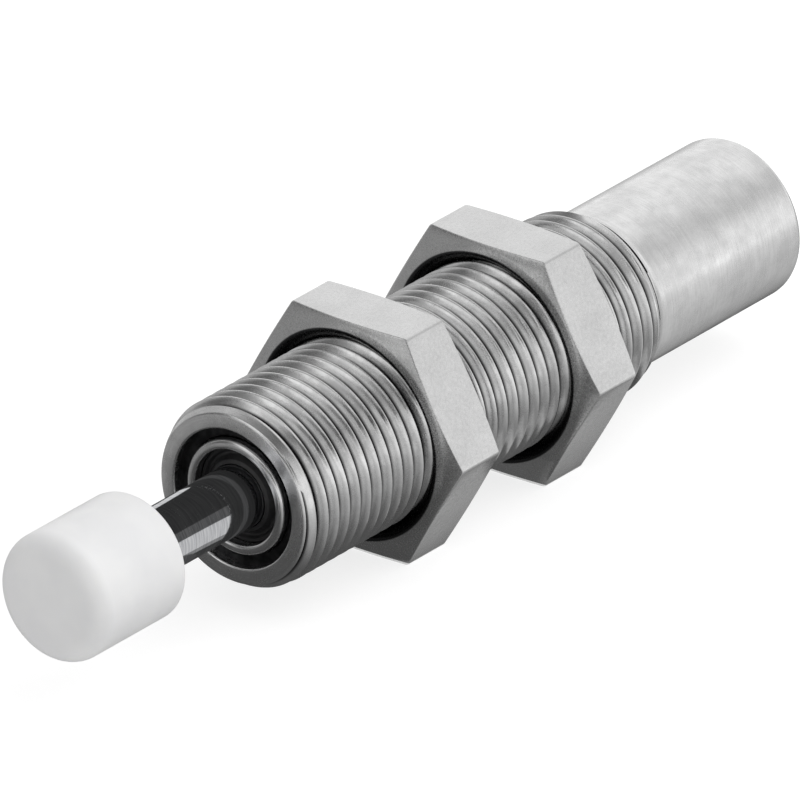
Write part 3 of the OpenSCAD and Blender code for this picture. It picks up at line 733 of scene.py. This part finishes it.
# --------------------------------------------------------------------------------------------
# Wiper: a moulded nitrile rubber ring pressed into the gland's nose. Its inner lip leans out
# onto the rod and scrapes dirt off it; the rod's oil leaves it a little glossy.
wiper_outline = eased([
    (-2.15, 2.3, 0), (-1.25, 2.3, 0), (-0.75, 2.03, 0), (-0.5, 2.03, 0.04), (-0.625, 2.28, 0.06),
    (-1.2, 2.58, 0.15), (-0.85, 2.83, 0.05), (-0.85, 3.03, 0.05), (-2.15, 3.03, 0), (-2.15, 2.3, 0),
])


def nitrile_rubber():
    """Moulded nitrile rubber: near black, with a fine matt skin and a film of oil over it."""
    material, tree = blank_material("moulded_nitrile_rubber")
    place = add(tree, "TexCoord").outputs["Object"]
    bloom = add(tree, "TexNoise", {"Vector": place, "Scale": 1500.0, "Detail": 5.0})
    shade = add(tree, "MapRange", {"Value": bloom.outputs["Fac"], "From Min": 0.35,
                                   "From Max": 0.7})
    colour = add(tree, "Mix", {0: shade.outputs[0], 6: linear("141415"), 7: linear("222223")},
                 data_type="RGBA")
    rough = add(tree, "MapRange", {"Value": bloom.outputs["Fac"], "To Min": 0.4, "To Max": 0.6})
    matt = add(tree, "Bump", {"Height": bloom.outputs["Fac"], "Distance": 0.02 * MM,
                              "Strength": 0.4})
    shader = add(tree, "BsdfPrincipled", {"Base Color": colour.outputs[2], "IOR": 1.52,
                                          "Coat Weight": 0.1, "Coat Roughness": 0.3,
                                          "Roughness": rough.outputs[0],
                                          "Normal": matt.outputs[0]})
    add(tree, "OutputMaterial", {"Surface": shader.outputs[0]})
    return material


rubber = nitrile_rubber()
fit(turned("wiper_ring", wiper_outline), rubber, "barrel", "nitrile_rubber", "rod_wiper")

# --------------------------------------------------------------------------------------------
# Return spring: cold-wound spring steel wire between the piston and the base plug, with both
# end turns closed. In the real damper it shortens towards the plug as the rod goes in; here it is
# drawn at one length.
WIRE_R = 0.25
COIL_R = 2.05
COIL_TURNS = 10
COIL_FRONT = -26.39
COIL_BACK = -42.18
CLOSED_STEP = 0.55
COIL_STEPS = 48
WIRE_STEPS = 15


def coil():
    """A circle of the wire's radius carried along a helix: one closed turn, the open turns and
    one closed turn, with both ends drawn in to a point."""
    path = np.linspace(0, COIL_TURNS, COIL_TURNS * COIL_STEPS + 1)
    span = COIL_FRONT - COIL_BACK - 2 * WIRE_R
    middle = (span - 2 * CLOSED_STEP) / (COIL_TURNS - 2)
    down = np.interp(path, [0, 1, COIL_TURNS - 1, COIL_TURNS],
                     [0, CLOSED_STEP, CLOSED_STEP + middle * (COIL_TURNS - 2), span])
    around = np.linspace(0, 2 * np.pi, WIRE_STEPS)
    thick = np.full_like(path, WIRE_R)
    thick = np.concatenate([[0], thick, [0]])
    path = np.concatenate([path[:1], path, path[-1:]])
    down = np.concatenate([down[:1], down, down[-1:]])
    r = COIL_R + thick[:, None] * np.cos(around)
    x = COIL_FRONT - WIRE_R - down[:, None] + thick[:, None] * np.sin(around)
    turn = 2 * np.pi * path[:, None]
    return x, r * np.cos(turn), r * np.sin(turn)


def spring_steel_finish():
    """Cold-drawn wire: dark grey with a dull gloss, and long thin drawing marks."""
    material, tree = blank_material("drawn_spring_steel_wire")
    place = add(tree, "TexCoord").outputs["Object"]
    packed = add(tree, "VectorMath", {0: place, 1: (8, 1, 1)}, operation="MULTIPLY")
    drawing = add(tree, "TexNoise", {"Vector": packed.outputs[0], "Scale": 1200.0,
                                     "Detail": 3.0})
    shade = add(tree, "MapRange", {"Value": drawing.outputs["Fac"], "From Min": 0.35,
                                   "From Max": 0.65})
    colour = add(tree, "Mix", {0: shade.outputs[0], 6: linear("8d8e90"), 7: linear("6c6d70")},
                 data_type="RGBA")
    rough = add(tree, "MapRange", {"Value": drawing.outputs["Fac"], "To Min": 0.26,
                                   "To Max": 0.42})
    lined = add(tree, "Bump", {"Height": drawing.outputs["Fac"], "Distance": 0.008 * MM,
                               "Strength": 0.4})
    shader = add(tree, "BsdfPrincipled", {"Base Color": colour.outputs[2], "Metallic": 1.0,
                                          "Roughness": rough.outputs[0],
                                          "Normal": lined.outputs[0]})
    add(tree, "OutputMaterial", {"Surface": shader.outputs[0]})
    return material


wire_steel = spring_steel_finish()
spring = skin("coil_spring", *coil())
fit(spring, wire_steel, "barrel", "spring_steel", "return_spring")
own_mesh(spring)

# --------------------------------------------------------------------------------------------
# Damper pieces inside the body, which keep their solids: bush and check ring of sintered
# bronze, seals of rubber, foam sleeve, turned and zinc-plated steel parts, ball and screw.


def sintered_bronze():
    """Sintered bronze: warm dull metal full of oil-filled pores, drawn 0.07 mm wide to show."""
    material, tree = blank_material("sintered_bronze")
    place = add(tree, "TexCoord").outputs["Object"]
    pores = add(tree, "TexVoronoi", {"Vector": place, "Scale": 14000.0})
    hollow = add(tree, "MapRange", {"Value": pores.outputs["Distance"], "From Min": 0.1,
                                    "From Max": 0.45})
    colour = add(tree, "Mix", {0: hollow.outputs[0], 6: linear("5f4a2c"), 7: linear("b08f5c")},
                 data_type="RGBA")
    pitted = add(tree, "Bump", {"Height": hollow.outputs[0], "Distance": 0.02 * MM,
                                "Strength": 0.6})
    shader = add(tree, "BsdfPrincipled", {"Base Color": colour.outputs[2], "Metallic": 1.0,
                                          "Roughness": 0.42, "Normal": pitted.outputs[0]})
    add(tree, "OutputMaterial", {"Surface": shader.outputs[0]})
    return material


def closed_cell_foam():
    """Closed-cell rubber foam: dark, quite matt, with cells of about 0.2 mm."""
    material, tree = blank_material("closed_cell_foam_rubber")
    place = add(tree, "TexCoord").outputs["Object"]
    cells = add(tree, "TexVoronoi", {"Vector": place, "Scale": 5000.0})
    wall = add(tree, "MapRange", {"Value": cells.outputs["Distance"], "From Min": 0.1,
                                  "From Max": 0.6})
    colour = add(tree, "Mix", {0: wall.outputs[0], 6: linear("2a2a2c"), 7: linear("47474a")},
                 data_type="RGBA")
    dimpled = add(tree, "Bump", {"Height": wall.outputs[0], "Distance": 0.06 * MM,
                                 "Strength": 0.7})
    shader = add(tree, "BsdfPrincipled", {"Base Color": colour.outputs[2], "Roughness": 0.85,
                                          "Normal": dimpled.outputs[0]})
    add(tree, "OutputMaterial", {"Surface": shader.outputs[0]})
    return material


zinc_steel = tumbled_steel("zinc_plated_steel", "c3c7cb", "9da2a7", 0.34)
bronze = sintered_bronze()
inner_finishes = {
    "guide_bush": bronze, "check_ring": bronze, "rod_seal": rubber, "gland_o_ring": rubber,
    "foam_sleeve": closed_cell_foam(), "seal_washer": black_steel, "filler_screw": black_steel,
    "pressure_tube": bright_steel, "filler_ball": bright_steel, "stopper_plate": zinc_steel,
    "piston_collar": zinc_steel, "piston": zinc_steel, "base_plug": zinc_steel,
    "piston_clip": wire_steel,
}
for name, finish in inner_finishes.items():
    for material_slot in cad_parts[name].material_slots:
        material_slot.material = finish
